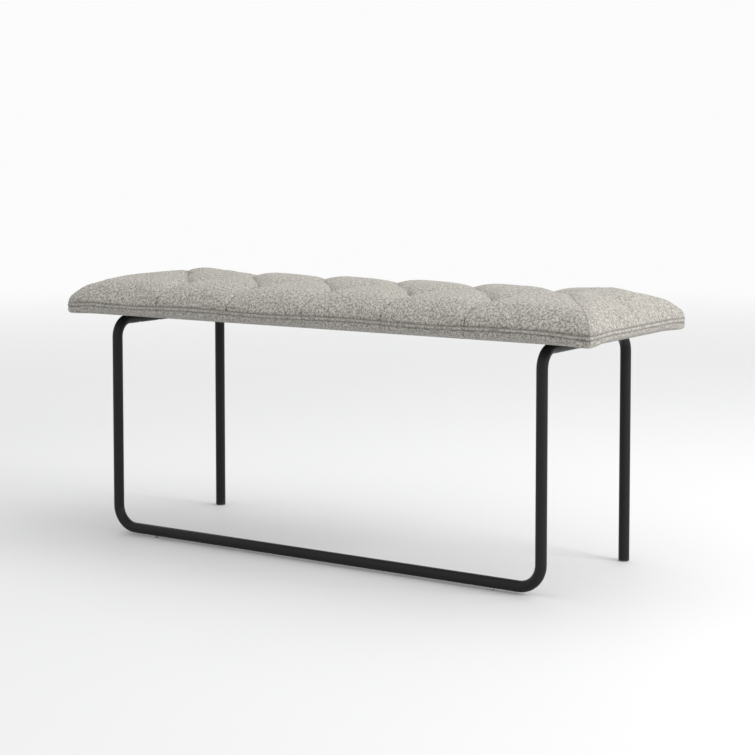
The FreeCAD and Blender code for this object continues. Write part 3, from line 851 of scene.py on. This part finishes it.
def spread(coarse, step):
    """A coarse field carried to every line of the fine net, with smooth steps between."""
    for axis in (0, 1):
        places = np.arange(coarse.shape[axis]) * step
        wanted = np.arange(places[-1] + 1)
        lower = np.minimum(wanted // step, len(places) - 2)
        share = (wanted - lower * step) / step
        nearby = [np.clip(lower + shift, 0, len(places) - 1) for shift in (-1, 0, 1, 2)]
        points = [np.take(coarse, near, axis=axis) for near in nearby]
        shape = [1, 1, 1]
        shape[axis] = -1
        t = share.reshape(shape)
        bend = (points[0] - points[1] * 2.5 + points[2] * 2 - points[3] * 0.5)
        twist = (points[3] - points[0]) * 0.5 + (points[1] - points[2]) * 1.5
        coarse = points[1] + t * ((points[2] - points[0]) * 0.5 + t * (bend + t * twist))
    return coarse


inward = np.minimum(seat_half[0] - abs(plan_x), seat_half[1] - abs(plan_y))
cover_net = cover_net - uprights * (TAUT * smooth(inward / TAUT_REACH))[..., None]
sample = (slice(None, None, COARSE_STEP), slice(None, None, COARSE_STEP))
moved = settle(cover_net[sample], plan_x[sample], plan_y[sample]) - cover_net[sample]
far = np.linalg.norm(moved, axis=2, keepdims=True)
print(f"cloth moved {far.mean() / MM:.2f} mm on average, {far.max() / MM:.2f} mm at most")
moved *= SETTLE_SHARE * np.minimum(1, SETTLE_CAP / np.maximum(far, 1e-9))
cover_net = cover_net + spread(moved, COARSE_STEP)

# %% [markdown]
# ## Close the cover
#
# The folds' lips go on last, so that nothing smooths them away. At the welt the cloth rolls under, which
# makes the thin dark line above the cord, deepened with painted shade. A few more rings of points follow
# that roll, and a flat bottom closes the form. The flat map of the cloth goes with the points, ring after
# ring.

# %% The finished cover
ROLL = 2.2 * MM
ROLL_STEPS = 4
PAINTED_ROLL_SHADE = 0.36


def edge_loop(index):
    """Numbers of the net's outer points, once round."""
    return np.concatenate([index[:-1, 0], index[-1, :-1], index[:0:-1, -1], index[0, :0:-1]])


def outward(loop):
    """Level unit vectors that point out of a closed line of points."""
    run = np.roll(loop, -1, axis=0) - np.roll(loop, 1, axis=0)
    out = np.stack([run[:, 1], -run[:, 0], np.zeros(len(loop))], axis=1)
    out /= np.linalg.norm(out, axis=1, keepdims=True)
    calm = sum(np.roll(out, shift, axis=0) for shift in range(-3, 4))
    return calm / np.linalg.norm(calm, axis=1, keepdims=True)


def finish_object(name, mesh, material):
    dress(mesh, material)
    mesh.shade_smooth()
    return placed(name, mesh)


def map_cloth(mesh, flat):
    """Stores the flat map of the cloth: a place in metres for each corner of each face."""
    layer = mesh.uv_layers.new(name="cloth")
    layer.data.foreach_set("uv", flat.astype(np.float32).ravel())


def paint_crease_shade(mesh, shades):
    """Stores the painted shade at each point, which its finish uses to darken creases, grooves and pits."""
    layer = mesh.attributes.new("seam", "FLOAT", "POINT")
    layer.data.foreach_set("value", np.asarray(shades, dtype=np.float32).ravel())


def split_along_seams(index, shades):
    """Two triangles for each cell of a net, cut along the diagonal where the painted crease shade is
    stronger.
    """
    a, b, c, d = index[:-1, :-1], index[1:, :-1], index[1:, 1:], index[:-1, 1:]
    dark = shades.ravel()
    along = dark[a] + dark[c] >= dark[b] + dark[d]
    first = np.stack([a, b, np.where(along, c, d)], axis=2)
    second = np.stack([np.where(along, a, b), c, d], axis=2)
    return np.concatenate([first.reshape(-1, 3), second.reshape(-1, 3)])


def face_out(mesh):
    """Turns every face of a closed mesh outwards."""
    work = bmesh.new()
    work.from_mesh(mesh)
    bmesh.ops.recalc_face_normals(work, faces=work.faces)
    if work.calc_volume(signed=True) < 0:
        bmesh.ops.reverse_faces(work, faces=work.faces)
    work.to_mesh(mesh)
    work.free()


def cushion():
    """The cover as one closed form, with its flat map."""
    across, along = folded_net.shape[:2]
    points = folded_net.reshape(-1, 3)
    flat = np.stack(np.meshgrid(cloth_length_x, cloth_length_y, indexing="ij"), axis=2).reshape(-1, 2)
    index = np.arange(across * along).reshape(across, along)
    faces = split_along_seams(index, painted_crease_shades).tolist()
    shades = painted_crease_shades.flatten()
    loop = edge_loop(index)
    # Painted shade: the edge and the rings that roll under it darken step by step, where the roll is in
    # shade.
    shades[loop] = np.maximum(shades[loop], PAINTED_ROLL_SHADE)
    edge = points[loop]
    out = outward(edge)
    rings = [loop]
    for step in range(1, ROLL_STEPS + 1):
        turn = step / ROLL_STEPS * math.pi / 2
        ring = edge - out * ROLL * (1 - math.cos(turn))
        ring[:, 2] -= ROLL * math.sin(turn)
        rings.append(np.arange(len(loop)) + len(points))
        points = np.concatenate([points, ring])
        flat = np.concatenate([flat, flat[loop] + out[:, :2] * ROLL * turn])
        shades = np.concatenate([shades, np.full(len(loop), step / ROLL_STEPS)])
    for upper, lower in zip(rings, rings[1:]):
        faces += np.stack([upper, lower, np.roll(lower, -1), np.roll(upper, -1)], axis=1).tolist()
    faces.append(rings[-1][::-1].tolist())
    mesh = bpy.data.meshes.new("tufted_cover")
    mesh.from_pydata(points.tolist(), [], faces)
    corners = np.empty(len(mesh.loops), dtype=np.int32)
    mesh.loops.foreach_get("vertex_index", corners)
    map_cloth(mesh, flat[corners])
    paint_crease_shade(mesh, shades)
    face_out(mesh)
    return finish_object("tufted_cover", mesh, seat_cloth("tweed")), edge, out


folded_net = cover_net + net_uprights(cover_net) * lips[..., None]
tufted_cover, edge_line, edge_out = cushion()
print("cover", len(tufted_cover.data.polygons), "faces")

# %% [markdown]
# ## The welt
#
# A welt is a cord wrapped in a strip of the same cloth and sewn between the cover and the band. It
# follows one path, so it suits Geometry Nodes: the path is resampled, shaken a little as a hand-sewn cord
# is, and swept with a circle. The tree also stores a flat map, so that the weave runs along the strip,
# and painted shade for the grooves above and below the cord.


# %% A tree for cords
PAINTED_GROOVE_FROM = 0.6
PAINTED_GROOVE_RUN = 0.3
WELT_ON_ROLL = 0.6
WELT_BELOW_ROLL = 0.86


class Recipe(Tree):
    """A Geometry Nodes tree with named inputs, put on an object and then baked to a plain mesh."""

    def __init__(self, name, **inputs):
        group = bpy.data.node_groups.new(name, "GeometryNodeTree")
        super().__init__(group)
        group.interface.new_socket("Geometry", in_out="INPUT", socket_type="NodeSocketGeometry")
        group.interface.new_socket("Geometry", in_out="OUTPUT", socket_type="NodeSocketGeometry")
        self.keys = {}
        for label, kind in inputs.items():
            socket = group.interface.new_socket(label, in_out="INPUT", socket_type="NodeSocket" + kind)
            self.keys[label] = socket.identifier
        entry = group.nodes.new("NodeGroupInput")
        self.inputs = {socket.name: Value(self, socket) for socket in entry.outputs if socket.name}

    def store(self, geometry, name, value, kind="FLOAT", domain="POINT"):
        inputs = {"Geometry": geometry, "Name": name, "Value": value}
        return self.node("GeometryNodeStoreNamedAttribute", {"data_type": kind, "domain": domain}, inputs)

    def stored(self, name):
        return self.node("GeometryNodeInputNamedAttribute", {"data_type": "FLOAT"}, {"Name": name})

    def finish(self, geometry):
        """Ends the tree with one smooth mesh in the finish that it is given."""
        solid = self.node("GeometryNodeRealizeInstances", inputs={"Geometry": geometry})
        even = self.node("GeometryNodeSetShadeSmooth", inputs={"Geometry": solid, "Shade Smooth": True})
        dressed = {"Geometry": even, "Material": self.inputs["Finish"]}
        way_out = self.nodes.nodes.new("NodeGroupOutput")
        self.feed(way_out.inputs[0], self.node("GeometryNodeSetMaterial", inputs=dressed))

    def bake(self, piece, name, values):
        """Runs the tree on a piece and returns the result as a new plain object."""
        modifier = piece.modifiers.new(name, "NODES")
        modifier.node_group = self.nodes
        for label, value in values.items():
            modifier[self.keys[label]] = value
        evaluated = piece.evaluated_get(bpy.context.evaluated_depsgraph_get())
        mesh = bpy.data.meshes.new_from_object(evaluated)
        mesh.name = name
        piece.modifiers.remove(modifier)
        old = piece.data
        bpy.data.objects.remove(piece)
        bpy.data.meshes.remove(old)
        return placed(name, mesh)


def cord_recipe():
    """Path in, wrapped cord out."""
    recipe = Recipe("wrapped_cord", Radius="Float", Spacing="Float", Sides="Int", Shake="Float",
                    Seed="Float", Finish="Material")
    given = recipe.inputs
    path = recipe.node("GeometryNodeMeshToCurve", inputs={0: given["Geometry"]})
    steps = {"Curve": path, "Length": given["Spacing"]}
    path = recipe.node("GeometryNodeResampleCurve", {"mode": "LENGTH"}, steps)
    where = recipe.node("GeometryNodeInputPosition")
    noise_inputs = {"Vector": where, "W": given["Seed"], "Scale": 14.0, "Detail": 1.0}
    shake = recipe.node("ShaderNodeTexNoise", {"noise_dimensions": "4D"}, noise_inputs, output=1)
    centred = recipe.node("ShaderNodeVectorMath", {"operation": "SUBTRACT"}, {0: shake, 1: (0.5, 0.5, 0.5)})
    amount = {0: centred, "Scale": given["Shake"]}
    offset = recipe.node("ShaderNodeVectorMath", {"operation": "SCALE"}, amount)
    path = recipe.node("GeometryNodeSetPosition", inputs={"Geometry": path, "Offset": offset})
    run = recipe.node("GeometryNodeSplineParameter", output=1)
    path = recipe.store(path, "run", run)
    circle = recipe.node("GeometryNodeCurvePrimitiveCircle",
                         inputs={"Resolution": given["Sides"], "Radius": given["Radius"]})
    ring = recipe.store(circle, "girth", recipe.node("GeometryNodeSplineParameter", output=1))
    tube = recipe.node("GeometryNodeCurveToMesh", inputs={"Curve": path, "Profile Curve": ring})
    flat = recipe.join(recipe.stored("run"), recipe.stored("girth"))
    mapped = recipe.store(tube, "cloth", flat, "FLOAT2", "CORNER")
    # Painted shade: where the cord's surface tilts up or down, into the grooves against the cover and the
    # band, its cloth is darkened.
    x, y, upright = recipe.split(recipe.node("GeometryNodeInputNormal"))
    tucked = ((upright.size() - PAINTED_GROOVE_FROM) / PAINTED_GROOVE_RUN).maths("MAXIMUM", 0.0).maths("MINIMUM", 1.0)
    recipe.finish(recipe.store(mapped, "seam", tucked))
    return recipe


def path_object(name, points):
    """A closed line of points as an object."""
    count = len(points)
    mesh = bpy.data.meshes.new(name)
    mesh.from_pydata([list(point) for point in points], [(k, (k + 1) % count) for k in range(count)], [])
    return placed(name, mesh)


def welt():
    """The cord round the seat, half tucked in between the cover and the band."""
    line = edge_line - edge_out * (welt_radius - (welt_high.y - cover_high.y))
    line[:, 2] -= ROLL * WELT_ON_ROLL + welt_radius * WELT_BELOW_ROLL
    # Painted light: the welt's copy of the seat cloth is made lighter.
    shade = seat_cloth("tweed_welt", 1.06)
    values = {"Radius": welt_radius, "Spacing": 3 * MM, "Sides": 16, "Shake": 1.1 * MM, "Seed": 3.0,
              "Finish": shade}
    return cord_recipe().bake(path_object("welt_path", line), "welt", values)


seat_welt = welt()
face_out(seat_welt.data)
print("welt", len(seat_welt.data.polygons), "faces")

# %% [markdown]
# ## The border band
#
# Below the welt a narrow band of the same cloth covers the edge of the board and turns under it, where
# staples hold it. Its section is a short list of points, each so far in from the seat's edge and so far
# above the band's bottom. The section is thickened and carried round the seat.

# %% The border band
CLOTH_THICK = 1.2 * MM
BAND_SECTION = [(4.6, 17.2), (2.4, 16.0), (1.0, 14.4), (0.3, 12.2), (0.0, 9.8), (0.3, 7.4), (1.3, 5.6),
                (3.2, 3.9), (6.2, 2.4), (11.0, 1.1), (18.0, 0.3), (24.0, 0.0), (36.0, 0.0), (48.0, 0.0)]
PAINTED_BAND_GROOVE_SHADE = [1.0, 1.0, 0.75, 0.25]
BAND_FACE = 14 * MM
BAND_TURN = 17 * MM
CORNER_FULL = 0.55
CORNER_DROP = 1.2 * MM
CORNER_DROP_LOW = 1.4 * MM
LOOSE_WITHIN = 3 * MM
LOOSE_RUN = 18 * MM
CLOSING_STEP = 2 * MM


def band_ring(inset, rise, spread_out):
    """One ring of the band: the seat's edge line moved in by inset, at rise above the band's bottom."""
    hang = corner_hang(edge_line[:, 0], edge_line[:, 1])
    corner = 1 - hang / HANG
    upper = min(1, rise / BAND_FACE)
    fuller = CORNER_FULL * corner * (1 - smooth(np.array(inset / BAND_TURN)))
    ring = edge_line.copy()
    ring[:, :2] *= 1 - (inset * (1 - fuller))[:, None] / seat_half
    wave = edge_wave(edge_line[:, 0], edge_line[:, 1]) * upper
    drop = corner * (CORNER_DROP - CORNER_DROP_LOW * (upper - 1))
    ring[:, 2] = band_low.z + rise + (hang + wave - drop) * spread_out
    return ring


def walked(points):
    """How far along a line of points each one is."""
    return np.concatenate([[0], np.cumsum(np.linalg.norm(np.diff(points, axis=0), axis=1))])


def band():
    """The band as a closed sheet of cloth with its thickness, carried round the seat."""
    section = np.array(BAND_SECTION) * MM
    steps = np.diff(section, axis=0)
    steps = np.concatenate([steps, steps[-1:]])
    square = np.stack([-steps[:, 1], steps[:, 0]], axis=1)
    square /= np.linalg.norm(square, axis=1, keepdims=True)
    inner = section + square * CLOTH_THICK
    closed = np.concatenate([section, inner[::-1]])
    length = walked(closed)
    rings = []
    for inset, rise in closed:
        held = 1 - float(smooth(np.array((inset - LOOSE_WITHIN) / LOOSE_RUN)))
        rings.append(band_ring(inset, rise, held))
    net = np.stack(rings, axis=1)
    count, layers = net.shape[:2]
    index = np.arange(count * layers).reshape(count, layers)
    after = np.roll(index, -1, axis=0)
    below = np.roll(index, -1, axis=1)
    faces = np.stack([index, after, np.roll(after, -1, axis=1), below], axis=2).reshape(-1, 4)
    mesh = bpy.data.meshes.new("band")
    mesh.from_pydata(net.reshape(-1, 3).tolist(), [], faces.tolist())
    walk = walked(edge_line)
    corner_run = np.stack([index, index + layers, index + layers + 1, index + 1], axis=2).reshape(-1)
    flat_run = np.append(walk, walk[-1] + CLOSING_STEP)[np.minimum(corner_run // layers, count)]
    turn = np.stack([np.arange(layers)] * 2 + [np.arange(layers) + 1] * 2, axis=1)
    flat_girth = np.append(length, length[-1] + CLOTH_THICK)[np.tile(turn, (count, 1)).ravel()]
    map_cloth(mesh, np.stack([flat_run, flat_girth], axis=1))
    # Painted shade: the first points of the section, where the band curls in under the welt, are darkened
    # where shade falls in that groove.
    shade = np.zeros(layers)
    shade[:len(PAINTED_BAND_GROOVE_SHADE)] = PAINTED_BAND_GROOVE_SHADE
    paint_crease_shade(mesh, np.tile(shade, count))
    face_out(mesh)
    # Painted light: the band's copy of the seat cloth is made a little lighter.
    return finish_object("border_cloth", mesh, seat_cloth("tweed_band", 1.02))


border_cloth = band()
print("band", len(border_cloth.data.polygons), "faces")

# %% [markdown]
# ## Stitches in the tufts
#
# A blind tuft has no button: the twine makes one small loop over the cloth at the bottom of the pit.
# Sixteen loops alike are a case for instances on points: the tree bends one short thread, copies it to
# each point, and turns each copy a little by chance.


# %% Stitches by Geometry Nodes
def stitch_recipe():
    """Points in, a loop of thread at each point out."""
    recipe = Recipe("tuft_stitches", Loop="Float", Thread="Float", Seed="Int", Finish="Material")
    given = recipe.inputs
    half = given["Loop"] * 0.5
    low = given["Loop"] * -0.5
    ends = {"Start": recipe.join(low, 0.0, low), "Middle": recipe.join(0.0, 0.0, given["Loop"]),
            "End": recipe.join(half, 0.0, low)}
    arc = recipe.node("GeometryNodeCurveQuadraticBezier", inputs={"Resolution": 10, **ends})
    profile = {"Resolution": 8, "Radius": given["Thread"]}
    ring = recipe.node("GeometryNodeCurvePrimitiveCircle", inputs=profile)
    sweep = {"Curve": arc, "Profile Curve": ring, "Fill Caps": True}
    thread = recipe.node("GeometryNodeCurveToMesh", inputs=sweep)
    span = {2: -0.5, 3: 0.5, "Seed": given["Seed"]}
    turn = recipe.node("FunctionNodeRandomValue", {"data_type": "FLOAT"}, span, output=1)
    copies = {"Points": given["Geometry"], "Instance": thread, "Rotation": recipe.join(0.0, 0.0, turn)}
    recipe.finish(recipe.node("GeometryNodeInstanceOnPoints", inputs=copies))
    return recipe


def stitches(thread_finish):
    """A loop of thread at the bottom of every tuft."""
    spots = []
    for tuft in tufts:
        near = np.argmin(np.hypot(plan_x - tuft.x, plan_y - tuft.y))
        spots.append(folded_net.reshape(-1, 3)[near].tolist())
    mesh = bpy.data.meshes.new("tuft_spots")
    mesh.from_pydata(spots, [], [])
    values = {"Loop": 3 * MM, "Thread": 0.6 * MM, "Seed": 11, "Finish": thread_finish}
    return stitch_recipe().bake(placed("tuft_spots", mesh), "tuft_stitches", values)


waxed_twine = twine()
tuft_stitches = stitches(waxed_twine)
face_out(tuft_stitches.data)
print("stitches", len(tuft_stitches.data.polygons), "faces")

# %% [markdown]
# ## Dress the parts that keep their engineering shape
#
# The tubes, feet, bolts and board already have their true shape, so they only get a finish.

# %% Finishes for the engineering parts
FINISHES = {
    powder_coat: ["front_hoop", "rear_leg_left", "rear_leg_right"],
    zinc_plate: ["joiner_sleeve_left", "joiner_sleeve_right", "board_nuts"],
    black_oxide: ["seat_bolts", "saddle_washers"],
    foot_plastic: ["rear_foot_cap_left", "rear_foot_cap_right"],
    clear_plastic: ["front_glide_left", "front_glide_right"],
    staple_wire: ["staples"],
    nylon: ["twine_anchors"],
    plywood: ["seat_board"],
    dust_cloth: ["dust_cover"],
}


for make, nodes in FINISHES.items():
    material = make()
    for node in nodes:
        dress(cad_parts[node].data, material)
dress(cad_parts["tuft_twines"].data, waxed_twine)

# %% [markdown]
# ## Hand the pieces over
#
# Each new piece rides on the one body that the bench has, and the plain solids that the new pieces stand
# for are hidden.

# %% Fix the pieces to the body
for piece, slot in ((tufted_cover, "seat_fabric"), (seat_welt, "seat_fabric"),
                    (border_cloth, "seat_fabric"), (tuft_stitches, "twine")):
    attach(piece, "root")
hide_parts("seat_cover", "fibre_wrap", "foam_core")
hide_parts("welt_cord")
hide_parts("border_band")
